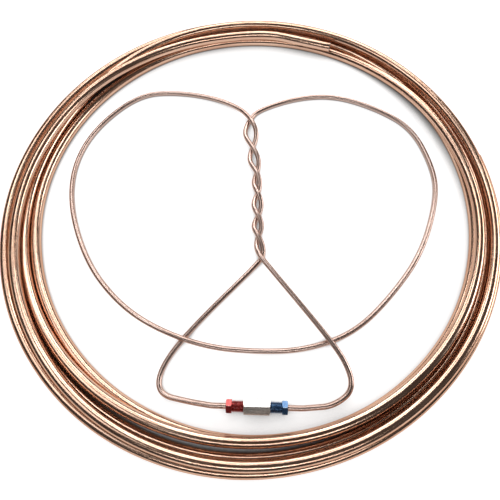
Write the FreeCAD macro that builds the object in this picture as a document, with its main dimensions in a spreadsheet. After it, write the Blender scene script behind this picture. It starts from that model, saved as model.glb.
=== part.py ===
import FreeCAD, Part
import math
import os

# A coil of bright copper-nickel tubing with a bent sample loop lying inside it.
# The loop is one length of thin tubing, closed by a flare union and two tube nuts.
# Millimetres, +Z up, origin on the floor at the middle of the coil.

Vector = FreeCAD.Vector
doc = FreeCAD.newDocument("tubing_coil")

# ---------------------------------------------------------------- driving sizes
SIZES = [
    # coil of thick tubing
    ("coil_tube_od", 9.525),
    ("coil_tube_wall", 0.889),
    ("coil_radius", 240.6),
    ("turn_gap", 0.3),
    ("coil_centre_x", -2.0),
    ("free_end_angle", 68.0),
    ("free_end_straight", 26.0),
    ("hidden_end_straight", 4.0),
    # loop of thin tubing
    ("loop_tube_od", 4.7625),
    ("loop_tube_wall", 0.711),
    ("strand_gap", 0.4),
    ("flare_od", 7.1),
    # flare fitting: union and tube nuts
    ("fitting_x", -4.8),
    ("fitting_y", -191.9),
    ("fitting_turn", -5.0),
    ("floor_gap", 0.02),
    ("union_length", 22.2),
    ("union_flats", 12.7),
    ("union_end_chamfer", 0.9),
    ("thread_major", 9.525),
    ("thread_clearance", 0.08),
    ("socket_depth", 8.6),
    ("seat_height", 0.9),
    ("seat_gap", 0.1),
    ("nut_length", 18.6),
    ("nut_exposed", 14.5),
    ("nut_head_length", 4.8),
    ("nut_flats", 11.1125),
    ("nut_bore_clearance", 0.08),
    ("nut_nose_chamfer", 0.7),
    ("nut_head_chamfer", 0.8),
]

sheet = doc.addObject("Spreadsheet::Sheet", "sizes")
for row, (name, value) in enumerate(SIZES, start=1):
    sheet.set("A%d" % row, name)
    sheet.set("B%d" % row, repr(value))
    sheet.setAlias("B%d" % row, name)
doc.recompute()


def size(name):
    """The number in the sheet's cell of that name."""
    return float(sheet.get(name))


# ---------------------------------------------------------------- bent tubing
def half_turn_at(before, corner, after):
    """Half the angle by which the route turns at a corner."""
    return (math.pi - (before - corner).getAngle(after - corner)) / 2


def bent_route(corners, bends):
    """A wire of straight runs joined by tangent arcs, one arc at each inner corner.

    A bend of None takes the largest arc that leaves half of each run to its neighbour.
    """
    edges = []
    start = corners[0]
    for before, corner, after, bend in zip(corners, corners[1:], corners[2:], bends):
        back = (before - corner).normalize()
        ahead = (after - corner).normalize()
        half_turn = half_turn_at(before, corner, after)
        trim = min((before - corner).Length, (after - corner).Length) / 2
        if bend is not None:
            trim = bend * math.tan(half_turn)
        radius = trim / math.tan(half_turn)
        arc_start = corner + back * trim
        arc_end = corner + ahead * trim
        inward = (back + ahead).normalize()
        arc_middle = corner + inward * (radius / math.cos(half_turn) - radius)
        if (arc_start - start).Length > 0.001:
            edges.append(Part.LineSegment(start, arc_start).toShape())
        edges.append(Part.Arc(arc_start, arc_middle, arc_end).toShape())
        start = arc_end
    edges.append(Part.LineSegment(start, corners[-1]).toShape())
    return Part.Wire(edges)


def swept_tube(route, outer_radius, inner_radius):
    """A hollow tube along a route, checked against its section times its length."""
    first = route.Edges[0]
    start = first.valueAt(first.FirstParameter)
    along = first.tangentAt(first.FirstParameter)
    outer_disc = Part.Face(Part.Wire(Part.makeCircle(outer_radius, start, along)))
    inner_disc = Part.Face(Part.Wire(Part.makeCircle(inner_radius, start, along)))
    tube = route.makePipe(outer_disc.cut(inner_disc).Faces[0])
    expected = math.pi * (outer_radius ** 2 - inner_radius ** 2) * route.Length
    if abs(tube.Volume / expected - 1) > 0.002:
        raise ValueError("tube volume %.1f, expected %.1f" % (tube.Volume, expected))
    return tube


def add_shape(label, shape, placement=None):
    """A document object that holds a shape worked out above from the sheet's sizes."""
    feature = doc.addObject("Part::Feature", label)
    feature.Label = label
    feature.Shape = shape
    feature.Placement = placement or FreeCAD.Placement()
    return feature


# ---------------------------------------------------------------- coil tube
# Each bend of the coil has a column, counted inwards from the outermost lay, and a row,
# counted up from the floor. One column or row is one tube diameter and the gap.
STEPS_PER_TURN = 12
FREE_END_TURN = [
    (2.95, 1.0), (2.75, 1.05), (2.35, 1.5), (1.75, 1.12), (1.2, 1.1), (0.7, 1.0),
    (0.55, 1.0), (0.5, 1.0), (0.5, 1.0), (0.62, 1.0), (0.88, 1.0), (1.0, 1.05),
]
DROPPING_TURN = [
    (1.15, 1.05), (1.38, 1.05), (1.95, 0.45), (2.0, 0.0), (1.98, 0.3), (2.2, 0.95),
    (2.33, 1.05), (2.05, 1.05), (1.98, 1.05), (1.98, 1.05), (2.48, 1.0), (2.28, 0.0),
]
INNER_TURN = [
    (2.55, 0), (2.68, 0), (2.85, 0), (3.02, 0), (3.0, 0), (2.75, 0),
    (2.35, 0), (2.06, 0), (2.0, 0), (2.0, 0), (1.82, 0), (1.23, 0),
]
MIDDLE_TURN = [(1.05, 0)] + [(0.98, 0)] * 9 + [(0.83, 0), (0.18, 0)]
OUTER_TURN = [(0, 0)] * 4 + [(-0.05, 0), (-0.1, 0), (-0.05, 0), (0, 0), (0, 0), (-0.17, 0)]
LAY = FREE_END_TURN + DROPPING_TURN + INNER_TURN + MIDDLE_TURN + OUTER_TURN


def coil_centre():
    """The middle of the outermost lay, on the floor."""
    return Vector(size("coil_centre_x"), 0, 0)


def coil_corners():
    """The corners of the coil's route, from the free end on top to the end underneath."""
    pitch = size("coil_tube_od") + size("turn_gap")
    half_step = math.pi / STEPS_PER_TURN
    first_angle = math.radians(size("free_end_angle"))
    corners = []
    for step, (column, row) in enumerate(LAY):
        angle = first_angle + half_step * (2 * step + 1)
        radius = (size("coil_radius") - column * pitch) / math.cos(half_step)
        height = size("coil_tube_od") / 2 + row * pitch
        spoke = Vector(radius * math.cos(angle), radius * math.sin(angle), height)
        corners.append(coil_centre() + spoke)
    return corners


def with_straight_ends(corners):
    """The corners with an end point before the first and after the last."""
    ends = []
    free_end = (corners[0], corners[1], size("free_end_straight"))
    hidden_end = (corners[-1], corners[-2], size("hidden_end_straight"))
    for corner, beyond, straight in (free_end, hidden_end):
        spread = (beyond - corner).Length / 2
        radial = (corner - coil_centre()).normalize()
        radial = Vector(radial.x, radial.y, 0).normalize()
        inward = (beyond - corner).normalize()
        away = Vector(-inward.x, -inward.y, 0) + radial * (2 * inward.dot(radial))
        ends.append(corner + away.normalize() * (spread + straight))
    return [ends[0]] + corners + [ends[1]]


coil_points = with_straight_ends(coil_corners())
last_half_run = (coil_points[-3] - coil_points[-2]).Length / 2
hidden_end_bend = last_half_run / math.tan(half_turn_at(*coil_points[-3:]))
coil_route = bent_route(coil_points, [None] * (len(LAY) - 1) + [hidden_end_bend])
coil_outer_radius = size("coil_tube_od") / 2
coil_inner_radius = coil_outer_radius - size("coil_tube_wall")
coil_tube = add_shape("coil_tube", swept_tube(coil_route, coil_outer_radius, coil_inner_radius))
print("coil tube length %.0f mm" % coil_route.Length)


# ---------------------------------------------------------------- flare fitting, in its own frame
# The fitting lies along its own X axis, with the union's middle at the origin, and is then
# turned and set down so that one long edge of the union's hexagon rests on the floor.
fitting_height = size("union_flats") / math.sqrt(3) + size("floor_gap")
fitting_place = FreeCAD.Placement(
    Vector(size("fitting_x"), size("fitting_y"), fitting_height),
    FreeCAD.Rotation(Vector(0, 0, 1), size("fitting_turn")),
)
fitting_along = fitting_place.Rotation.multVec(Vector(1, 0, 0))
along_x = FreeCAD.Rotation(Vector(0, 1, 0), 90)


def primitive(kind, name, start, **sizes):
    """A Part primitive with its axis along X and its start and sizes bound to the sheet."""
    item = doc.addObject("Part::" + kind, name)
    item.Placement = FreeCAD.Placement(Vector(), along_x)
    item.setExpression("Placement.Base.x", start)
    for field, expression in sizes.items():
        item.setExpression(field, expression)
    return item


def combine(kind, name, base, tool):
    """A Part boolean of two objects: Cut, Fuse or Common."""
    item = doc.addObject("Part::" + kind, name)
    item.Base = base
    item.Tool = tool
    return item


def settle(item, label):
    """Names a finished piece and puts it where the fitting lies."""
    item.Label = label
    item.Placement = fitting_place
    item.setExpression("Placement.Base.x", "sizes.fitting_x")
    item.setExpression("Placement.Base.y", "sizes.fitting_y")
    item.setExpression("Placement.Base.z", "sizes.union_flats / sqrt(3) + sizes.floor_gap")
    return item


def hexagon_bar(name, start, length, flats, chamfer):
    """A hexagon bar whose two ends are turned to a 30 degree chamfer across the corners."""
    corner = "%s / sqrt(3)" % flats
    bar = primitive("Prism", name + "_bar", start, Circumradius=corner, Height=length)
    bar.Polygon = 6
    end = "%s - %s" % (corner, chamfer)
    far = "%s + %s * sqrt(3)" % (end, length)
    opening = primitive("Cone", name + "_opening", start, Radius1=end, Radius2=far, Height=length)
    closing = primitive("Cone", name + "_closing", start, Radius1=far, Radius2=end, Height=length)
    near_end = combine("Common", name + "_near_end", bar, opening)
    return combine("Common", name + "_turned", near_end, closing)


# ---------------------------------------------------------------- union
# A hexagon bar with a threaded socket at each end. Each socket ends in a 45 degree cone, on
# which the tube's flare seats, and a passage joins the two sockets.
union = hexagon_bar("union", "-sizes.union_length / 2", "sizes.union_length",
                    "sizes.union_flats", "sizes.union_end_chamfer")
socket_radius = "(sizes.thread_major / 2 + sizes.thread_clearance)"
seat_base = "(sizes.flare_od / 2 - sizes.loop_tube_wall - sizes.seat_gap)"
for end, start, top in (("left", "-sizes.union_length / 2", "sizes.socket_depth - sizes.seat_height"),
                        ("right", "sizes.union_length / 2 - sizes.socket_depth", "0")):
    socket = primitive("Cylinder", end + "_socket", start, Radius=socket_radius, Height="sizes.socket_depth")
    base_radius = seat_base if end == "right" else seat_base + " - sizes.seat_height"
    tip_radius = seat_base + " - sizes.seat_height" if end == "right" else seat_base
    seat = primitive("Cone", end + "_seat", start + " + " + top, Radius1=base_radius, Radius2=tip_radius,
                     Height="sizes.seat_height")
    hollow = combine("Cut", end + "_hollow", socket, seat)
    union = combine("Cut", "union_with_" + end + "_socket", union, hollow)
passage_radius = "sizes.loop_tube_od / 2 - sizes.loop_tube_wall"
passage = primitive("Cylinder", "passage", "-sizes.union_length / 2", Radius=passage_radius,
                    Height="sizes.union_length")
union = settle(combine("Cut", "union_bored", union, passage), "union")


# ---------------------------------------------------------------- tube nuts
# A hexagon head and a threaded shank, bored to slide on the tube. The shank's nose is
# countersunk to press the back of the flare.
def tube_nut(label, side):
    """A tube nut on one side of the union: side is -1 for the left and 1 for the right."""
    face = "(sizes.union_length / 2 + sizes.nut_exposed)"
    nose = "(sizes.union_length / 2 + sizes.nut_exposed - sizes.nut_length)"
    shank_length = "sizes.nut_length - sizes.nut_head_length"
    nose_radius = "sizes.thread_major / 2 - sizes.nut_nose_chamfer"
    bore_radius = "sizes.loop_tube_od / 2 + sizes.nut_bore_clearance"
    sink_radius = bore_radius + " + sizes.nut_nose_chamfer"
    tip_length = "sizes.nut_nose_chamfer"
    if side > 0:
        head_start = face + " - sizes.nut_head_length"
        shank_start = nose
        tip_start = nose
    else:
        head_start = "-" + face
        shank_start = "-" + face + " + sizes.nut_head_length"
        tip_start = "-" + nose + " - sizes.nut_nose_chamfer"
    head = hexagon_bar(label, head_start, "sizes.nut_head_length", "sizes.nut_flats", "sizes.nut_head_chamfer")
    if side > 0:
        plain_start = shank_start + " + sizes.nut_nose_chamfer"
        tip_radii = {"Radius1": nose_radius, "Radius2": "sizes.thread_major / 2"}
        sink_radii = {"Radius1": sink_radius, "Radius2": bore_radius}
    else:
        plain_start = shank_start
        tip_radii = {"Radius1": "sizes.thread_major / 2", "Radius2": nose_radius}
        sink_radii = {"Radius1": bore_radius, "Radius2": sink_radius}
    shank = primitive("Cylinder", label + "_shank", plain_start, Radius="sizes.thread_major / 2",
                      Height=shank_length + " - sizes.nut_nose_chamfer")
    tip = primitive("Cone", label + "_tip", tip_start, Height=tip_length, **tip_radii)
    solid = combine("Fuse", label + "_screw", combine("Fuse", label + "_blank", head, shank), tip)
    bore = primitive("Cylinder", label + "_bore", "-" + face if side < 0 else nose, Radius=bore_radius,
                     Height="sizes.nut_length")
    sink = primitive("Cone", label + "_sink", tip_start, Height=tip_length, **sink_radii)
    bored = combine("Cut", label + "_bored", solid, bore)
    return settle(combine("Cut", label, bored, sink), label)


red_tube_nut = tube_nut("red_tube_nut", -1)
blue_tube_nut = tube_nut("blue_tube_nut", 1)
doc.recompute()


# ---------------------------------------------------------------- loop tube
# The tube runs from the red nut up the left leg, up through the twist, round the right lobe,
# across the bottom, round the left lobe, down through the twist and down the right leg.
# Each bend is a corner of the route: where it lies, its height and, if set, its radius.
STEPS_PER_CROSSING = 4
loop_radius = size("loop_tube_od") / 2
on_floor = loop_radius + 0.05
twist_rise = loop_radius + size("strand_gap") / 2
twist_widening = 1 / math.cos(math.pi / STEPS_PER_CROSSING / 2)
twist_height = on_floor + twist_rise * twist_widening
crossing_height = on_floor + 2 * twist_rise

# The strands cross at these places down the stem: y, x and how far each one stands out
# sideways half way to the next crossing.
TWIST_CROSSINGS = [
    (102, 5.5, 5.8), (65, 6.0, 4.4), (34, 8.9, 2.9), (10, 8.2, 3.7),
    (-15, 7.1, 3.7), (-37, 5.8, 2.9), (-61, 8, 0),
]
RIGHT_LOBE = [
    (15, 115), (60, 129), (104, 128.5), (148, 106.5), (179.5, 78.5), (191, 30),
    (188, -5), (162, -62), (125, -103.5), (86, -135), (43, -147),
]
BOTTOM_AND_LEFT_LOBE = [
    (3, -147, 0.2), (-47, -140.5, 1.0), (-95, -119.5, 1.15), (-130, -92, 0.5), (-161, -51, 0),
    (-182.5, 9, 0), (-183, 61, 0), (-162, 107, 0), (-117, 147, 0), (-73, 147, 0),
    (-30, 135, 0.05), (-4, 117, 0.5),
]


def twist_strand(side):
    """The corners of one strand, from the top crossing down. Side 1 starts on top, -1 beneath."""
    corners = []
    for index, (here, below) in enumerate(zip(TWIST_CROSSINGS, TWIST_CROSSINGS[1:])):
        for step in range(STEPS_PER_CROSSING):
            share = step / STEPS_PER_CROSSING
            phase = math.pi * (index + share)
            y = here[0] + (below[0] - here[0]) * share
            middle_x = here[1] + (below[1] - here[1]) * share
            x = middle_x + side * here[2] * twist_widening * math.sin(phase)
            z = twist_height + side * twist_rise * twist_widening * math.cos(phase)
            corners.append(Vector(x, y, z))
    last_y, last_x, _ = TWIST_CROSSINGS[-1]
    last_phase = math.pi * (len(TWIST_CROSSINGS) - 1)
    corners.append(Vector(last_x, last_y, twist_height + side * twist_rise * twist_widening * math.cos(last_phase)))
    return corners


def on_fitting(distance):
    """A point on the fitting's axis, that far from the union's middle towards the right."""
    return fitting_place.Base + fitting_along * distance


flare_length = size("flare_od") / 2 - loop_radius
flare_face = size("union_length") / 2 - size("socket_depth") + size("seat_gap")
left_leg = [
    (on_fitting(-38), 25), (Vector(-62, -184.4, 6.2), None), (Vector(-88.8, -176.8, 4.0), None),
    (Vector(-86.5, -154, on_floor + 0.5), None), (Vector(-58, -120.5, on_floor + 0.4), None),
]
right_leg = [
    (Vector(57, -132, crossing_height + 0.4), None), (Vector(74, -160, crossing_height + 0.4), None),
    (Vector(77.5, -183, 7.6), None), (Vector(59, -194.8, 7.4), None), (on_fitting(38), 60),
]

loop_corners = [(on_fitting(-flare_face - flare_length), None)] + left_leg
loop_corners += [(corner, None) for corner in reversed(twist_strand(-1))]
loop_corners += [(Vector(x, y, on_floor), None) for x, y in RIGHT_LOBE]
for x, y, lift in BOTTOM_AND_LEFT_LOBE:
    height = on_floor + lift * (crossing_height - on_floor)
    loop_corners.append((Vector(x, y, height), None))
loop_corners += [(corner, None) for corner in twist_strand(1)]
loop_corners += right_leg + [(on_fitting(flare_face + flare_length), None)]

loop_points = [corner for corner, bend in loop_corners]
loop_bends = [bend for corner, bend in loop_corners[1:-1]]
loop_route = bent_route(loop_points, loop_bends)
loop_solid = swept_tube(loop_route, loop_radius, loop_radius - size("loop_tube_wall"))


def flared_end(end, outward):
    """The flare of the tube: a 45 degree cup of the tube's own wall, opening outwards."""
    wall = size("loop_tube_wall")
    outer = Part.makeCone(loop_radius, loop_radius + flare_length, flare_length, end, outward)
    inner = Part.makeCone(loop_radius - wall, loop_radius + flare_length - wall, flare_length, end, outward)
    return outer.cut(inner)


left_flare = flared_end(loop_points[0], fitting_along)
right_flare = flared_end(loop_points[-1], fitting_along * -1)
loop_tube = add_shape("loop_tube", loop_solid.fuse([left_flare, right_flare]).removeSplitter())
print("loop tube length %.0f mm" % loop_route.Length)

# ---------------------------------------------------------------- checks and files
pieces = [coil_tube, loop_tube, union, red_tube_nut, blue_tube_nut]
doc.recompute()
for item in doc.Objects:
    if "Invalid" in item.State or "Error" in item.State:
        raise ValueError("%s is in state %s" % (item.Label, item.State))
for piece in pieces:
    if piece.Shape.isNull() or not piece.Shape.isValid() or len(piece.Shape.Solids) != 1:
        raise ValueError("%s is not one valid solid" % piece.Label)

os.makedirs("parts", exist_ok=True)
for piece in pieces:
    piece.Shape.exportStep("parts/%s.step" % piece.Label)
    print(piece.Label, "%.0f mm3" % piece.Shape.Volume)
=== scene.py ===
import math
import bmesh
import bpy
from mathutils import Matrix, Vector


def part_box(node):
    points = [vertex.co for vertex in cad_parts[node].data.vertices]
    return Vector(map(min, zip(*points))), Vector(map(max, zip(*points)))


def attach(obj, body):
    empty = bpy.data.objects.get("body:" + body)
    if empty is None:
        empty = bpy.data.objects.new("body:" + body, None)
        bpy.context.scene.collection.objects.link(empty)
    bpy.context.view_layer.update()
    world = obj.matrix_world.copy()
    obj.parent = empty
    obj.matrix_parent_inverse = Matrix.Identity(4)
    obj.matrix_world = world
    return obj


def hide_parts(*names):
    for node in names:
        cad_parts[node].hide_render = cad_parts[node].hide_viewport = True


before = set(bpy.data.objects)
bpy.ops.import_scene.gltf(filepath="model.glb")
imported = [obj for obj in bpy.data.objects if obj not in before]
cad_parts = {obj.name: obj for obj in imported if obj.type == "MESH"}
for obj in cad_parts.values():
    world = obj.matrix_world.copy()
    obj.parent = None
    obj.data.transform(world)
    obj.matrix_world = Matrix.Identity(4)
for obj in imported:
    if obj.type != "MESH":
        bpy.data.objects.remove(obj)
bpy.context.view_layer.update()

# ---------------------------------------------------------------- the coil
# One length of soft copper-nickel tube, wound by hand into a flat ring of nearly five turns.
# It is seamless drawn tube, left bare, and holds its shape by its own stiffness. Both ends
# are sawn square and lightly deburred.
ring_centre = Vector((-0.002, 0, 0))
coil_tube_radius = 0.0047625
coil_tube_wall = 0.000889
coil_radius = 0.2406
coil_sides = 32
coil_ring_spacing = 0.005
lay_gap = 0.0003
lay_pitch = 2 * coil_tube_radius + lay_gap
free_end_angle = math.radians(68)
free_end_straight = 0.026
hidden_end_straight = 0.004
bend_angle = math.radians(30)

# Each bend of the winding, as columns inwards from the outermost lay and rows up from the floor.
free_end_turn = [
    (2.95, 1.0), (2.75, 1.05), (2.35, 1.5), (1.75, 1.12), (1.2, 1.1), (0.7, 1.0),
    (0.55, 1.0), (0.5, 1.0), (0.5, 1.0), (0.62, 1.0), (0.88, 1.0), (1.0, 1.05),
]
dropping_turn = [
    (1.15, 1.05), (1.38, 1.05), (1.95, 0.45), (2.0, 0.0), (1.98, 0.3), (2.2, 0.95),
    (2.33, 1.05), (2.05, 1.05), (1.98, 1.05), (1.98, 1.05), (2.48, 1.0), (2.28, 0.0),
]
inner_turn = [
    (2.55, 0), (2.68, 0), (2.85, 0), (3.02, 0), (3.0, 0), (2.75, 0),
    (2.35, 0), (2.06, 0), (2.0, 0), (2.0, 0), (1.82, 0), (1.23, 0),
]
middle_turn = [(1.05, 0)] + [(0.98, 0)] * 9 + [(0.83, 0), (0.18, 0)]
outer_turn = [(0, 0)] * 4 + [(-0.05, 0), (-0.1, 0), (-0.05, 0), (0, 0), (0, 0), (-0.17, 0)]

winding = []
all_turns = free_end_turn + dropping_turn + inner_turn + middle_turn + outer_turn
for step, (column, row) in enumerate(all_turns):
    angle = free_end_angle + bend_angle * (step + 0.5)
    reach = (coil_radius - column * lay_pitch) / math.cos(bend_angle / 2)
    height = coil_tube_radius + row * lay_pitch
    winding.append(ring_centre + Vector((reach * math.cos(angle), reach * math.sin(angle), height)))


def sawn_end(last_bend, bend_before, straight):
    """The tube past its last bend: it leaves level, straightens out and is sawn off."""
    came = last_bend - bend_before
    spoke = ((last_bend - ring_centre) * Vector((1, 1, 0))).normalized()
    onward = Vector((came.x, came.y, 0))
    onward = (onward - spoke * (2 * came.dot(spoke))).normalized()
    reach = came.length / 2
    return [last_bend + onward * reach, last_bend + onward * (reach + straight)]


def tube_route(name, points):
    """The tube's centre line: a smooth curve that is straight wherever three points are in line."""
    curve = bpy.data.curves.new(name, "CURVE")
    curve.dimensions = "3D"
    spline = curve.splines.new("NURBS")
    spline.points.add(len(points) - 1)
    for spot, point in zip(spline.points, points):
        spot.co = (*point, 1)
    spline.order_u = 3
    spline.use_endpoint_u = True
    spline.resolution_u = 16
    route = bpy.data.objects.new(name, curve)
    bpy.context.scene.collection.objects.link(route)
    return route


def drawn_tube_tree():
    """Geometry Nodes that draw a tube along a route: outside and bore, with the way along and round it."""
    tree = bpy.data.node_groups.new("drawn tube", "GeometryNodeTree")
    for label, kind in (("Route", "NodeSocketGeometry"), ("Outside Radius", "NodeSocketFloat"),
                        ("Bore Radius", "NodeSocketFloat"), ("Ring Spacing", "NodeSocketFloat"),
                        ("Sides", "NodeSocketInt"), ("Metal", "NodeSocketMaterial")):
        tree.interface.new_socket(label, in_out="INPUT", socket_type=kind)
    tree.interface.new_socket("Tube", in_out="OUTPUT", socket_type="NodeSocketGeometry")
    new, link = tree.nodes.new, tree.links.new
    given = new("NodeGroupInput")
    rings = new("GeometryNodeResampleCurve")
    rings.mode = "LENGTH"
    link(given.outputs["Route"], rings.inputs["Curve"])
    link(given.outputs["Ring Spacing"], rings.inputs["Length"])
    upright = new("GeometryNodeSetCurveNormal")
    upright.mode = "Z_UP"
    link(rings.outputs[0], upright.inputs["Curve"])
    way = new("GeometryNodeSplineParameter")
    measured = new("GeometryNodeStoreNamedAttribute")
    measured.data_type, measured.domain = "FLOAT", "POINT"
    measured.inputs["Name"].default_value = "along"
    link(upright.outputs[0], measured.inputs["Geometry"])
    link(way.outputs["Length"], measured.inputs["Value"])
    walls = new("GeometryNodeJoinGeometry")
    for radius in ("Bore Radius", "Outside Radius"):
        circle = new("GeometryNodeCurvePrimitiveCircle")
        link(given.outputs["Sides"], circle.inputs["Resolution"])
        link(given.outputs[radius], circle.inputs["Radius"])
        place = new("GeometryNodeInputPosition")
        unit = new("ShaderNodeVectorMath")
        unit.operation = "NORMALIZE"
        link(place.outputs[0], unit.inputs[0])
        marked = new("GeometryNodeStoreNamedAttribute")
        marked.data_type, marked.domain = "FLOAT_VECTOR", "POINT"
        marked.inputs["Name"].default_value = "round"
        link(circle.outputs[0], marked.inputs["Geometry"])
        link(unit.outputs[0], marked.inputs["Value"])
        sweep = new("GeometryNodeCurveToMesh")
        link(measured.outputs[0], sweep.inputs["Curve"])
        link(marked.outputs[0], sweep.inputs["Profile Curve"])
        link(sweep.outputs[0], walls.inputs[0])
    smooth = new("GeometryNodeSetShadeSmooth")
    real = new("GeometryNodeRealizeInstances")
    finish = new("GeometryNodeSetMaterial")
    made = new("NodeGroupOutput")
    link(walls.outputs[0], smooth.inputs[0])
    link(smooth.outputs[0], real.inputs[0])
    link(real.outputs[0], finish.inputs["Geometry"])
    link(given.outputs["Metal"], finish.inputs["Material"])
    link(finish.outputs[0], made.inputs[0])
    return tree


tube_tree = drawn_tube_tree()


def draw_tube(name, points, radius, wall, spacing, sides, metal, flare=0.0, burr=0.0001):
    """A plain mesh of the tube on its route, with its two ends closed round the wall."""
    route = tube_route(name + "_route", points)
    drawing = route.modifiers.new("drawing", "NODES")
    drawing.node_group = tube_tree
    values = {"Outside Radius": radius, "Bore Radius": radius - wall, "Ring Spacing": spacing,
              "Sides": sides, "Metal": metal}
    for socket in tube_tree.interface.items_tree:
        if socket.name in values:
            drawing[socket.identifier] = values[socket.name]
    drawn = route.evaluated_get(bpy.context.evaluated_depsgraph_get())
    mesh = bpy.data.meshes.new_from_object(drawn)
    route.modifiers.remove(drawing)
    bpy.data.objects.remove(route)
    mesh.name = name
    shape = bmesh.new()
    shape.from_mesh(mesh)
    for end, inside in ((points[0], points[1]), (points[-1], points[-2])):
        outward = (end - inside).normalized()
        rim = [edge for edge in shape.edges if edge.is_boundary
               and (edge.verts[0].co - end).length < radius * 1.5]
        if flare:
            opened = bmesh.ops.extrude_edge_only(shape, edges=rim)["geom"]
            for vertex in (item for item in opened if isinstance(item, bmesh.types.BMVert)):
                spoke = vertex.co - end
                spoke -= outward * spoke.dot(outward)
                vertex.co += outward * flare + spoke.normalized() * flare
            rim = [item for item in opened if isinstance(item, bmesh.types.BMEdge)]
            rim = [edge for edge in rim if edge.is_boundary]
        face_ring = bmesh.ops.bridge_loops(shape, edges=rim)["faces"]
        corners = {edge for face in face_ring for edge in face.edges if edge in set(rim)}
        bmesh.ops.bevel(shape, geom=list(corners), offset=burr, segments=2, affect="EDGES", profile=0.6)
    bmesh.ops.recalc_face_normals(shape, faces=shape.faces[:])
    shape.to_mesh(mesh)
    shape.free()
    for polygon in mesh.polygons:
        polygon.use_smooth = True
    mesh.set_sharp_from_angle(angle=math.radians(20))
    tube = bpy.data.objects.new(name, mesh)
    bpy.context.scene.collection.objects.link(tube)
    return tube


def stretched(tree, sources):
    """A vector of three values, each times its own scale."""
    vector = tree.nodes.new("ShaderNodeCombineXYZ")
    for axis, (source, scale) in enumerate(sources):
        times = tree.nodes.new("ShaderNodeMath")
        times.operation = "MULTIPLY"
        times.inputs[1].default_value = scale
        tree.links.new(source, times.inputs[0])
        tree.links.new(times.outputs[0], vector.inputs[axis])
    return vector.outputs[0]


def noise(tree, vector, scale, detail, rough):
    """Clouds of noise over a vector."""
    cloud = tree.nodes.new("ShaderNodeTexNoise")
    for key, number in (("Scale", scale), ("Detail", detail), ("Roughness", rough)):
        cloud.inputs[key].default_value = number
    tree.links.new(vector, cloud.inputs["Vector"])
    return cloud.outputs["Fac"]


def spread_to(tree, value, low, high, to_low, to_high):
    """A value moved from one range to another, and held at its ends."""
    ramp = tree.nodes.new("ShaderNodeMapRange")
    for key, number in (("From Min", low), ("From Max", high), ("To Min", to_low), ("To Max", to_high)):
        ramp.inputs[key].default_value = number
    tree.links.new(value, ramp.inputs["Value"])
    return ramp.outputs["Result"]


def blended(tree, first, second, share):
    """Two colours blended by a share. The first is a colour or another blend."""
    blend = tree.nodes.new("ShaderNodeMix")
    blend.data_type = "RGBA"
    blend.inputs["B"].default_value = second
    if isinstance(first, tuple):
        blend.inputs["A"].default_value = first
    else:
        tree.links.new(first, blend.inputs["A"])
    tree.links.new(share, blend.inputs["Factor"])
    return blend.outputs["Result"]


def raised(tree, height, strength, distance, over=None):
    """Relief from a height, on top of another relief if one is given."""
    relief = tree.nodes.new("ShaderNodeBump")
    relief.inputs["Strength"].default_value = strength
    relief.inputs["Distance"].default_value = distance
    tree.links.new(height, relief.inputs["Height"])
    if over is not None:
        tree.links.new(over, relief.inputs["Normal"])
    return relief.outputs[0]


def bare_tube_metal(name, bright, toned, deep, shine):
    """Bare drawn tube: fine draw lines along it, patches of warm tarnish and faint handling marks."""
    metal = bpy.data.materials.new(name)
    metal.use_nodes = True
    tree = metal.node_tree
    new, link = tree.nodes.new, tree.links.new
    shader = tree.nodes["Principled BSDF"]
    shader.inputs["Metallic"].default_value = 1.0
    shader.inputs["Specular Tint"].default_value = (0.80, 0.52, 0.38, 1)
    along = new("ShaderNodeAttribute")
    along.attribute_name = "along"
    around = new("ShaderNodeAttribute")
    around.attribute_name = "round"
    parts = new("ShaderNodeSeparateXYZ")
    link(around.outputs["Vector"], parts.inputs[0])
    place = new("ShaderNodeTexCoord").outputs["Object"]

    def along_and_round(turns, length_scale):
        return stretched(tree, ((parts.outputs[0], turns), (parts.outputs[1], turns),
                                (along.outputs["Fac"], length_scale)))

    draw_lines = noise(tree, along_and_round(9.0, 9.0), 1.0, 5.0, 0.65)
    patches = noise(tree, along_and_round(0.9, 14.0), 1.0, 4.0, 0.6)
    handling = noise(tree, place, 21.0, 3.0, 0.6)
    specks = noise(tree, place, 900.0, 2.0, 0.6)
    dents = noise(tree, along_and_round(0.8, 60.0), 1.0, 2.0, 0.6)
    colour = blended(tree, bright, toned, spread_to(tree, patches, 0.36, 0.66, 0.0, 1.0))
    colour = blended(tree, colour, deep, spread_to(tree, draw_lines, 0.46, 0.74, 0.0, 0.55))
    colour = blended(tree, colour, deep, spread_to(tree, specks, 0.66, 0.78, 0.0, 0.5))
    link(colour, shader.inputs["Base Color"])
    dulled = new("ShaderNodeMath")
    dulled.operation = "ADD"
    link(spread_to(tree, draw_lines, 0.3, 0.7, shine, shine + 0.12), dulled.inputs[0])
    link(spread_to(tree, handling, 0.4, 0.7, 0.0, 0.08), dulled.inputs[1])
    link(dulled.outputs[0], shader.inputs["Roughness"])
    relief = raised(tree, draw_lines, 0.35, 0.00006)
    link(raised(tree, dents, 0.25, 0.0006, over=relief), shader.inputs["Normal"])
    return metal


coil_metal = bare_tube_metal("coil copper-nickel", (0.72, 0.50, 0.38, 1), (0.56, 0.34, 0.24, 1),
                             (0.22, 0.095, 0.055, 1), 0.13)
free_end = list(reversed(sawn_end(winding[0], winding[1], free_end_straight)))
hidden_end = sawn_end(winding[-1], winding[-2], hidden_end_straight)[1]
coil_route = free_end + winding + [hidden_end]
wound_coil = draw_tube("wound_coil", coil_route, coil_tube_radius, coil_tube_wall, coil_ring_spacing,
                       coil_sides, coil_metal)
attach(wound_coil, "coil")
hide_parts("coil_tube")

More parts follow.
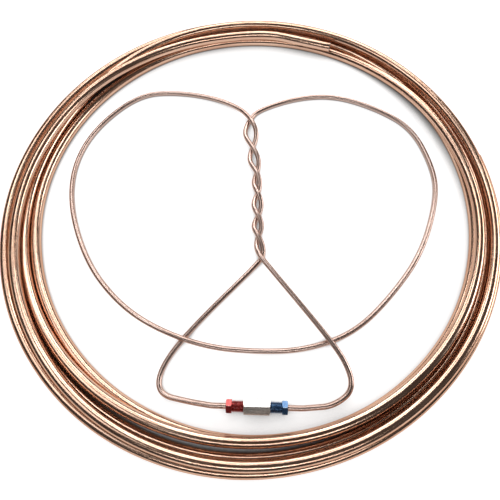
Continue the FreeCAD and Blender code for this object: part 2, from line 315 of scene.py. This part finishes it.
# ---------------------------------------------------------------- the sample loop
# One length of thin copper-nickel tube, bent by hand. From the fitting it goes up both sides
# of a triangle, its two legs are twisted round each other, and it opens into two lobes. Each
# end is flared inside the union.
union_low, union_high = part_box("union")
union_centre = Vector([(low + high) / 2 for low, high in zip(union_low, union_high)])
fitting_turn = math.radians(-5)
fitting_line = Vector((math.cos(fitting_turn), math.sin(fitting_turn), 0))
loop_tube_radius = 0.00238125
loop_tube_wall = 0.000711
loop_sides = 24
loop_ring_spacing = 0.0016
strand_gap = 0.0004
flare_radius = 0.00355
flare_length = flare_radius - loop_tube_radius
on_floor = loop_tube_radius + 0.00005
twist_rise = loop_tube_radius + strand_gap / 2
steps_per_crossing = 4
twist_widening = 1 / math.cos(math.pi / steps_per_crossing / 2)
twist_height = on_floor + twist_rise * twist_widening
crossing_height = on_floor + 2 * twist_rise

# The strands cross at these places down the stem: y, x and how far each stands out before the
# next crossing, in millimetres. The lobes' bends are x and y in millimetres too, and the second
# list adds the share of the way up to the height at which one tube crosses over another.
twist_crossings = [
    (102, 5.5, 5.8), (65, 6.0, 4.4), (34, 8.9, 2.9), (10, 8.2, 3.7),
    (-15, 7.1, 3.7), (-37, 5.8, 2.9), (-61, 8, 0),
]
right_lobe = [
    (15, 115), (60, 129), (104, 128.5), (148, 106.5), (179.5, 78.5), (191, 30),
    (188, -5), (162, -62), (125, -103.5), (86, -135), (43, -147),
]
bottom_and_left_lobe = [
    (3, -147, 0.2), (-47, -140.5, 1.0), (-95, -119.5, 1.15), (-130, -92, 0.5), (-161, -51, 0),
    (-182.5, 9, 0), (-183, 61, 0), (-162, 107, 0), (-117, 147, 0), (-73, 147, 0),
    (-30, 135, 0.05), (-4, 117, 0.5),
]


def twist_strand(side):
    """One strand of the twist, from the top crossing down. Side 1 starts above, -1 beneath."""
    bends = []
    for index, (here, below) in enumerate(zip(twist_crossings, twist_crossings[1:])):
        for step in range(steps_per_crossing):
            share = step / steps_per_crossing
            phase = math.pi * (index + share)
            x = here[1] + (below[1] - here[1]) * share + side * here[2] * twist_widening * math.sin(phase)
            y = here[0] + (below[0] - here[0]) * share
            rise = side * twist_rise * twist_widening * math.cos(phase)
            bends.append(Vector((x / 1000, y / 1000, twist_height + rise)))
    last_y, last_x, _ = twist_crossings[-1]
    last_rise = side * twist_rise * twist_widening * math.cos(math.pi * (len(twist_crossings) - 1))
    bends.append(Vector((last_x / 1000, last_y / 1000, twist_height + last_rise)))
    return bends


def tight_bend(before, corner, after, radius):
    """Three points that keep both runs straight up to a bend of that radius."""
    back = (before - corner).normalized()
    ahead = (after - corner).normalized()
    reach = 2 * radius * math.tan((math.pi - back.angle(ahead)) / 2)
    return [corner + back * reach, corner, corner + ahead * reach]


union_length = 0.0222
socket_depth = 0.0086
flare_gap = 0.0001
flare_root = union_length / 2 - socket_depth + flare_gap + flare_length
straight_reach = 0.038
red_bend_radius = 0.025
blue_bend_radius = 0.060
over_strand = crossing_height + 0.0004
red_end = union_centre - fitting_line * flare_root
blue_end = union_centre + fitting_line * flare_root
red_bend = union_centre - fitting_line * straight_reach
blue_bend = union_centre + fitting_line * straight_reach
left_leg = [
    Vector((-0.062, -0.1844, 0.0062)), Vector((-0.0888, -0.1768, 0.0040)),
    Vector((-0.0865, -0.154, on_floor + 0.0005)), Vector((-0.058, -0.1205, on_floor + 0.0004)),
]
right_leg = [
    Vector((0.057, -0.132, over_strand)), Vector((0.074, -0.160, over_strand)),
    Vector((0.0775, -0.183, 0.0076)), Vector((0.059, -0.1948, 0.0074)),
]
loop_route = [red_end] + tight_bend(red_end, red_bend, left_leg[0], red_bend_radius)
loop_route += left_leg + list(reversed(twist_strand(-1)))
loop_route += [Vector((x / 1000, y / 1000, on_floor)) for x, y in right_lobe]
for x, y, lift in bottom_and_left_lobe:
    loop_route.append(Vector((x / 1000, y / 1000, on_floor + lift * (crossing_height - on_floor))))
loop_route += twist_strand(1) + right_leg
loop_route += tight_bend(right_leg[-1], blue_bend, blue_end, blue_bend_radius) + [blue_end]

loop_metal = bare_tube_metal("loop copper-nickel", (0.58, 0.44, 0.39, 1), (0.45, 0.32, 0.27, 1),
                             (0.22, 0.14, 0.11, 1), 0.20)
bent_loop = draw_tube("bent_loop", loop_route, loop_tube_radius, loop_tube_wall, loop_ring_spacing,
                      loop_sides, loop_metal, flare=flare_length, burr=0.00005)
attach(bent_loop, "loop")
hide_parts("loop_tube")

# ---------------------------------------------------------------- the flare union
# A hexagon bar of plated steel, 12.7 mm across the flats, turned to a chamfer at both ends. Each
# end is drilled and tapped 3/8-24, with a cone at the bottom on which the flare seats. It joins
# the two ends of the loop and lies on one of its long corners.
thread_pitch = 0.0254 / 24
thread_crest = 0.0047625
thread_depth = 0.6134
thread_root = thread_crest - thread_depth * thread_pitch
thread_play = 0.00008
thread_run_out = 0.0007
rows_per_turn = 16
sides_round = 96
round_angles = [2 * math.pi * side / sides_round - math.pi for side in range(sides_round)]


def cut_thread_tree():
    """Geometry Nodes that cut a right-hand screw thread along X, running out at both ends."""
    tree = bpy.data.node_groups.new("cut thread", "GeometryNodeTree")
    for kind, labels in (("NodeSocketFloat", ("Start", "Length", "Pitch", "Root Radius", "Crest Radius",
                                              "Run Out Radius", "Run Out")),
                         ("NodeSocketInt", ("Rows", "Sides")), ("NodeSocketMaterial", ("Metal",))):
        for label in labels:
            tree.interface.new_socket(label, in_out="INPUT", socket_type=kind)
    tree.interface.new_socket("Thread", in_out="OUTPUT", socket_type="NodeSocketGeometry")
    new, link = tree.nodes.new, tree.links.new
    given = new("NodeGroupInput").outputs

    root_flat, flank_slope = 0.14, 1.4
    rubbed_above, rubbing = 0.75, 2

    def sum_of(operation, first, second, clamp=False):
        node = new("ShaderNodeMath")
        node.operation = operation
        node.use_clamp = clamp
        for slot, value in enumerate((first, second)):
            if isinstance(value, (int, float)):
                node.inputs[slot].default_value = value
            elif value is not None:
                link(value, node.inputs[slot])
        return node.outputs[0]

    sheet = new("GeometryNodeMeshGrid")
    link(given["Length"], sheet.inputs["Size X"])
    sheet.inputs["Size Y"].default_value = 2 * math.pi
    link(given["Rows"], sheet.inputs["Vertices X"])
    link(sum_of("ADD", given["Sides"], 1), sheet.inputs["Vertices Y"])
    spot = new("ShaderNodeSeparateXYZ")
    link(new("GeometryNodeInputPosition").outputs[0], spot.inputs[0])
    along = sum_of("ADD", spot.outputs[0], sum_of("MULTIPLY", given["Length"], 0.5))
    place = sum_of("ADD", along, given["Start"])
    angle = spot.outputs[1]
    turns = sum_of("SUBTRACT", sum_of("DIVIDE", place, given["Pitch"]), sum_of("DIVIDE", angle, 2 * math.pi))
    saw = sum_of("ABSOLUTE", sum_of("SUBTRACT", sum_of("MULTIPLY", sum_of("FRACT", turns, None), 2), 1), None)
    ridge = sum_of("MULTIPLY", sum_of("SUBTRACT", saw, root_flat), flank_slope, clamp=True)
    to_end = sum_of("MINIMUM", along, sum_of("SUBTRACT", given["Length"], along))
    full = sum_of("DIVIDE", to_end, given["Run Out"], clamp=True)
    depth = sum_of("MULTIPLY", ridge, sum_of("SUBTRACT", given["Crest Radius"], given["Root Radius"]))
    cut = sum_of("ADD", given["Root Radius"], depth)
    radius = sum_of("ADD", sum_of("MULTIPLY", cut, full),
                    sum_of("MULTIPLY", given["Run Out Radius"], sum_of("SUBTRACT", 1, full)))
    bent = new("ShaderNodeCombineXYZ")
    link(place, bent.inputs[0])
    link(sum_of("MULTIPLY", radius, sum_of("COSINE", angle, None)), bent.inputs[1])
    link(sum_of("MULTIPLY", radius, sum_of("SINE", angle, None)), bent.inputs[2])
    rubbed = new("GeometryNodeStoreNamedAttribute")
    rubbed.data_type, rubbed.domain = "FLOAT", "POINT"
    rubbed.inputs["Name"].default_value = "worn"
    link(sheet.outputs["Mesh"], rubbed.inputs["Geometry"])
    crest = sum_of("MULTIPLY", sum_of("SUBTRACT", ridge, rubbed_above), rubbing, clamp=True)
    link(sum_of("MULTIPLY", crest, full), rubbed.inputs["Value"])
    rolled = new("GeometryNodeSetPosition")
    link(rubbed.outputs[0], rolled.inputs["Geometry"])
    link(bent.outputs[0], rolled.inputs["Position"])
    seam = new("GeometryNodeMergeByDistance")
    seam.inputs["Distance"].default_value = 0.000002
    real = new("GeometryNodeRealizeInstances")
    finish = new("GeometryNodeSetMaterial")
    link(rolled.outputs[0], seam.inputs["Geometry"])
    link(seam.outputs[0], real.inputs[0])
    link(real.outputs[0], finish.inputs["Geometry"])
    link(given["Metal"], finish.inputs["Material"])
    link(finish.outputs[0], new("NodeGroupOutput").inputs[0])
    return tree


thread_tree = cut_thread_tree()


def cut_thread(name, start, length, root, crest, run_out_radius, metal):
    """A new shape that holds a thread between two places along X, and its two open ends."""
    blank = bpy.data.objects.new(name, bpy.data.meshes.new(name))
    bpy.context.scene.collection.objects.link(blank)
    cutting = blank.modifiers.new("cutting", "NODES")
    cutting.node_group = thread_tree
    values = {"Start": start, "Length": length, "Pitch": thread_pitch, "Root Radius": root,
              "Crest Radius": crest, "Run Out Radius": run_out_radius, "Run Out": thread_run_out,
              "Rows": int(length / thread_pitch * rows_per_turn), "Sides": sides_round, "Metal": metal}
    for socket in thread_tree.interface.items_tree:
        if socket.name in values:
            cutting[socket.identifier] = values[socket.name]
    mesh = bpy.data.meshes.new_from_object(blank.evaluated_get(bpy.context.evaluated_depsgraph_get()))
    blank.modifiers.remove(cutting)
    bpy.data.objects.remove(blank)
    shape = bmesh.new()
    shape.from_mesh(mesh)
    bpy.data.meshes.remove(mesh)
    rims = []
    for place in (start, start + length):
        rim = {vertex for edge in shape.edges if edge.is_boundary for vertex in edge.verts
               if abs(vertex.co.x - place) < 0.00001}
        by_side = {}
        for vertex in rim:
            share = math.atan2(vertex.co.z, vertex.co.y) / (2 * math.pi)
            by_side[round(share * sides_round) % sides_round] = vertex
        rims.append([by_side[(side - sides_round // 2) % sides_round] for side in range(sides_round)])
    return shape, rims


def hexagon_angles(flats, rounding):
    """Angles round a hexagon that stands on a corner, close together where a corner is rounded."""
    centre = (flats / 2 - rounding) / math.cos(math.pi / 6)
    half = math.atan2(rounding / 2, centre + rounding * math.cos(math.pi / 6))
    angles = []
    for corner in range(6):
        middle = math.radians(60 * corner - 150)
        angles += [middle + half * step / 2 for step in (-2, -1, 0, 1)]
        angles += [middle + half + (math.pi / 3 - 2 * half) * step / 12 for step in range(12)]
    return angles[-6:] + angles[:-6], centre


def hexagon_ends(length, flats, end_radius, rounding):
    """Rings of a hexagon bar from one face, over both turned chamfers, to the other face."""
    face_inset, face_edge, chamfer_edge = 0.00018, 0.00004, 0.00010
    angles, centre = hexagon_angles(flats, rounding)
    face_in, face, start, finish, face_out, far_in = [], [], [], [], [], []
    for angle in angles:
        from_corner = (angle + math.pi / 6) % (math.pi / 3)
        from_corner = min(from_corner, math.pi / 3 - from_corner)
        reach = flats / 2 / math.cos(math.pi / 6 - from_corner)
        side = centre * math.sin(from_corner)
        if side < rounding / 2:
            rounded = centre * math.cos(from_corner) + math.sqrt(rounding ** 2 - side ** 2)
            reach = min(reach, rounded)
        turned = min(reach, end_radius)
        sunk = (reach - turned) / math.sqrt(3)
        face_in.append((0, turned - face_inset, angle))
        face.append((face_edge, turned - face_edge, angle))
        start.append((sunk + chamfer_edge, reach, angle))
        finish.append((length - sunk - chamfer_edge, reach, angle))
        face_out.append((length - face_edge, turned - face_edge, angle))
        far_in.append((length, turned - face_inset, angle))
    return [face_in, face, start, finish, face_out, far_in]


def add_rings(shape, first, rings, start=0.0):
    """Skins the shape from one ring of vertices over further rings, and gives the last ring back."""
    rubbed_reach, rubbed_width = 0.0055, math.radians(1.8)
    rubbed = shape.verts.layers.float["worn"]
    for ring in rings:
        if isinstance(ring[0], bmesh.types.BMVert):
            placed = ring
        else:
            placed = []
            for along, reach, angle in ring:
                vertex = shape.verts.new((start + along, reach * math.cos(angle), reach * math.sin(angle)))
                corner = (angle + math.pi / 6) % (math.pi / 3)
                if reach > rubbed_reach and min(corner, math.pi / 3 - corner) < rubbed_width:
                    vertex[rubbed] = 1.0
                placed.append(vertex)
        if first is not None:
            for side in range(sides_round):
                after = (side + 1) % sides_round
                shape.faces.new((first[side], first[after], placed[after], placed[side]))
        first = placed
    return first


def turned_ring(place, radius):
    """A round ring of vertices at a place along the bar."""
    return [(place, radius, angle) for angle in round_angles]


def finish_piece(name, shape, placing, metal):
    """The shape as one closed piece, put where it lies, with its way along and round it kept."""
    bmesh.ops.remove_doubles(shape, verts=shape.verts[:], dist=0.000001)
    bmesh.ops.recalc_face_normals(shape, faces=shape.faces[:])
    way = shape.verts.layers.float.new("along")
    spoke = shape.verts.layers.float_vector.new("round")
    for vertex in shape.verts:
        across = Vector((0, vertex.co.y, vertex.co.z))
        vertex[way] = vertex.co.x
        vertex[spoke] = across.normalized()
        vertex.co = placing @ vertex.co
    mesh = bpy.data.meshes.new(name)
    shape.to_mesh(mesh)
    shape.free()
    mesh.materials.clear()
    mesh.materials.append(metal)
    for polygon in mesh.polygons:
        polygon.use_smooth = True
        polygon.material_index = 0
    mesh.set_sharp_from_angle(angle=math.radians(32))
    piece = bpy.data.objects.new(name, mesh)
    bpy.context.scene.collection.objects.link(piece)
    return piece


def plated_metal(name, bright, shade, worn, rough, grain, metallic=1.0, coat=0.0):
    """Thin plating over turned steel: fine tool lines, uneven tint, and bare metal on rubbed edges."""
    metal = bpy.data.materials.new(name)
    metal.use_nodes = True
    tree = metal.node_tree
    new, link = tree.nodes.new, tree.links.new
    shader = tree.nodes["Principled BSDF"]
    shader.inputs["Metallic"].default_value = metallic
    shader.inputs["Coat Weight"].default_value = coat
    shader.inputs["Coat Roughness"].default_value = 0.12
    fields = {}
    for field in ("along", "round", "worn"):
        fields[field] = new("ShaderNodeAttribute")
        fields[field].attribute_name = field
    parts = new("ShaderNodeSeparateXYZ")
    link(fields["round"].outputs["Vector"], parts.inputs[0])
    grained = stretched(tree, ((fields["along"].outputs["Fac"], grain[0]), (parts.outputs[1], grain[1]),
                               (parts.outputs[2], grain[1])))
    place = new("ShaderNodeTexCoord").outputs["Object"]
    tool_lines = noise(tree, grained, 1.0, 4.0, 0.5)
    cloudy = noise(tree, place, 420.0, 3.0, 0.5)
    chips = noise(tree, place, 1500.0, 4.0, 0.5)
    rubbed = new("ShaderNodeMath")
    rubbed.operation = "MULTIPLY"
    rubbed.use_clamp = True
    link(fields["worn"].outputs["Fac"], rubbed.inputs[0])
    link(spread_to(tree, chips, 0.44, 0.66, 0.0, 0.8), rubbed.inputs[1])
    colour = blended(tree, bright, shade, spread_to(tree, cloudy, 0.35, 0.68, 0.0, 1.0))
    link(blended(tree, colour, worn, rubbed.outputs[0]), shader.inputs["Base Color"])
    link(spread_to(tree, tool_lines, 0.3, 0.7, rough, rough + 0.16), shader.inputs["Roughness"])
    link(raised(tree, tool_lines, 0.3, 0.00004), shader.inputs["Normal"])
    return metal


def facing(side):
    """The placing of one end of the fitting: X runs outwards from the union's middle."""
    turn = fitting_turn if side > 0 else fitting_turn + math.pi
    return Matrix.Translation(union_centre) @ Matrix.Rotation(turn, 4, "Z")


union_half = union_length / 2
socket_floor = union_half - socket_depth
socket_start = socket_floor + 0.0004
socket_thread = 0.0078
socket_radius = thread_crest + thread_play
mouth_bevel = 0.00025
mouth_radius = thread_crest + 0.00030
passage_radius = loop_tube_radius - loop_tube_wall
seat_radius = flare_radius - loop_tube_wall - flare_gap
seat_height = 0.0009
union_flats = 0.0127
union_face_radius = union_flats / math.sqrt(3) - 0.0009
union_rounding = 0.0004
union_metal = plated_metal("union plating", (0.74, 0.70, 0.66, 1), (0.60, 0.56, 0.52, 1),
                           (0.88, 0.86, 0.83, 1), 0.22, (60.0, 16.0))
bar_rings = hexagon_ends(union_length, union_flats, union_face_radius, union_rounding)
union_shape = bmesh.new()
for half in (0, 1):
    shape, (deep_rim, mouth_rim) = cut_thread("socket_thread", socket_start, socket_thread,
                                              thread_root + thread_play, socket_radius,
                                              socket_radius, union_metal)
    middle = [(union_half, reach, angle) for _, reach, angle in bar_rings[3]]
    over_end = add_rings(shape, None, [middle] + bar_rings[3:], start=-union_half)
    add_rings(shape, over_end, [turned_ring(union_half, mouth_radius),
                                turned_ring(union_half - mouth_bevel, socket_radius), mouth_rim])
    add_rings(shape, deep_rim, [turned_ring(socket_floor, socket_radius),
                                turned_ring(socket_floor, seat_radius),
                                turned_ring(socket_floor + seat_height, seat_radius - seat_height),
                                turned_ring(socket_floor + seat_height, passage_radius),
                                turned_ring(0, passage_radius)])
    if half:
        bmesh.ops.rotate(shape, verts=shape.verts[:], cent=(0, 0, 0), matrix=Matrix.Rotation(math.pi, 3, "Z"))
    joined = bpy.data.meshes.new("half")
    shape.to_mesh(joined)
    shape.free()
    union_shape.from_mesh(joined)
    bpy.data.meshes.remove(joined)
hexagon_union = finish_piece("hexagon_union", union_shape, facing(1), union_metal)
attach(hexagon_union, "loop")
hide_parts("union")

# ---------------------------------------------------------------- the tube nuts
# Two steel flare nuts for 3/16 in tube, 7/16 in across the flats, turned from hexagon bar and
# plated, one tinted red and one blue. Each slides on the tube behind the flare, and its 3/8-24
# screw pulls the flare on to the union's seat. The plating is rubbed at the crests and corners.
nut_stands_out = 0.0145
nut_length = 0.0186
nut_face = union_half + nut_stands_out
nut_nose = nut_face - nut_length
head_length = 0.0048
nut_bore = loop_tube_radius + 0.00008
nose_edge = 0.00012
nose_step = 0.00010
nose_bevel = 0.0007
thread_shortfall = 0.00032
neck_swell = 0.00015
bore_bevel = 0.0002
nut_flats = 0.0111125
head_face_radius = nut_flats / math.sqrt(3) - 0.0008
head_rounding = 0.00035
head_rings = hexagon_ends(head_length, nut_flats, head_face_radius, head_rounding)


def tube_nut(name, side, body, node, metal):
    """One tube nut, made with X pointing outwards: nose, thread, neck, hexagon head and bore."""
    head_start = nut_face - head_length
    shape, (nose_rim, neck_rim) = cut_thread(name + "_thread", nut_nose + nose_edge,
                                             head_start - nut_nose - thread_shortfall,
                                             thread_root, thread_crest, thread_root, metal)
    around_head = add_rings(shape, neck_rim, [turned_ring(head_start, thread_root + neck_swell)])
    outer_face = add_rings(shape, around_head, head_rings, start=head_start)
    add_rings(shape, nose_rim, [turned_ring(nut_nose, thread_root - nose_step),
                                turned_ring(nut_nose, nut_bore + nose_bevel),
                                turned_ring(nut_nose + nose_bevel, nut_bore),
                                turned_ring(nut_face - bore_bevel, nut_bore),
                                turned_ring(nut_face, nut_bore + bore_bevel), outer_face])
    nut = finish_piece(name, shape, facing(side), metal)
    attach(nut, body)
    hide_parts(node)


red_plating = plated_metal("red plating", (0.40, 0.045, 0.042, 1), (0.26, 0.020, 0.020, 1),
                           (0.66, 0.40, 0.36, 1), 0.20, (2600.0, 3.0), metallic=0.85, coat=0.5)
blue_plating = plated_metal("blue plating", (0.055, 0.14, 0.27, 1), (0.030, 0.08, 0.18, 1),
                            (0.36, 0.46, 0.54, 1), 0.20, (2600.0, 3.0), metallic=0.85, coat=0.5)
tube_nut("red_nut", -1, "red_nut", "red_tube_nut", red_plating)
tube_nut("blue_nut", 1, "blue_nut", "blue_tube_nut", blue_plating)

# ---------------------------------------------------------------- floor, light and camera
# A wide sheet of white paper, lit from five soft boxes. Its material also gives off a painted glow of its
# own,
# and that painted glow and its colour are darkened by ambient occlusion where something stands close over it:
# painted shade, so that the gaps between the lays stay dark. The camera looks down from the near side.
floor_mesh = bpy.data.meshes.new("floor")
floor_mesh.from_pydata([(-6, -6, 0), (6, -6, 0), (6, 6, 0), (-6, 6, 0)], [], [(0, 1, 2, 3)])
floor = bpy.data.objects.new("floor", floor_mesh)
bpy.context.scene.collection.objects.link(floor)
paper = bpy.data.materials.new("white paper")
paper.use_nodes = True
paper_tree = paper.node_tree
paper_shader = paper_tree.nodes["Principled BSDF"]
paper_shader.inputs["Roughness"].default_value = 0.9
paper_shader.inputs["Emission Color"].default_value = (1, 1, 1, 1)
# Painted shade: ambient occlusion finds where something stands close over the floor, and darkens the floor's
# colour and painted glow there.
painted_shade_occlusion = paper_tree.nodes.new("ShaderNodeAmbientOcclusion")
painted_shade_occlusion.inputs["Distance"].default_value = 0.03
painted_glow_and_shade = spread_to(paper_tree, painted_shade_occlusion.outputs["AO"], 0.15, 0.60, 0.0, 0.85)
# Painted shade: the floor's colour goes near-black where it is occluded.
painted_shade_colour = blended(paper_tree, (0.06, 0.05, 0.045, 1), (0.45, 0.45, 0.45, 1), painted_glow_and_shade)
paper_tree.links.new(painted_shade_colour, paper_shader.inputs["Base Color"])
# Painted light: the floor glows by its own emission, standing in for fill light, and the glow fades with the
# painted shade.
paper_tree.links.new(painted_glow_and_shade, paper_shader.inputs["Emission Strength"])
floor_mesh.materials.append(paper)


def softbox(name, direction, distance, width, height, power, colour=(1, 1, 1)):
    """A soft studio light that faces the middle of the ring."""
    lamp = bpy.data.lights.new(name, "AREA")
    lamp.shape = "RECTANGLE"
    lamp.size, lamp.size_y = width, height
    lamp.energy = power
    lamp.color = colour
    box = bpy.data.objects.new(name, lamp)
    box.location = Vector(direction).normalized() * distance
    box.rotation_euler = (-box.location).to_track_quat("-Z", "Y").to_euler()
    bpy.context.scene.collection.objects.link(box)


softbox("right box", (0.92, 0.10, 0.38), 1.6, 1.2, 0.50, 12)
softbox("back box", (0.05, 0.85, 0.53), 1.6, 2.0, 0.50, 16)
softbox("high strip", (-0.10, 0.50, 0.86), 1.6, 1.4, 0.25, 6)
softbox("front strip", (0, -0.66, 0.75), 1.6, 1.3, 0.22, 5)
softbox("left box", (-0.50, 0, 0.87), 1.6, 0.8, 0.6, 4)
world = bpy.data.worlds.new("studio")
world.use_nodes = True
background = world.node_tree.nodes["Background"]
background.inputs["Color"].default_value = (1.0, 0.90, 0.84, 1)
background.inputs["Strength"].default_value = 0.06
bpy.context.scene.world = world
bpy.context.scene.view_settings.view_transform = "Standard"

lens = bpy.data.cameras.new("camera")
lens.lens = 30.24
lens.sensor_width = 36
camera = bpy.data.objects.new("camera", lens)
right = Vector((0.99818, -0.05624, -0.02188))
up = Vector((0.06035, 0.93023, 0.36197))
forward = Vector((0, 0.3626, -0.9319))
eye = (-0.0026, -0.1968, 0.3802)
view = [[right[i], up[i], -forward[i], eye[i]] for i in range(3)]
camera.matrix_world = Matrix(view + [[0, 0, 0, 1]])
bpy.context.scene.collection.objects.link(camera)
bpy.context.scene.camera = camera
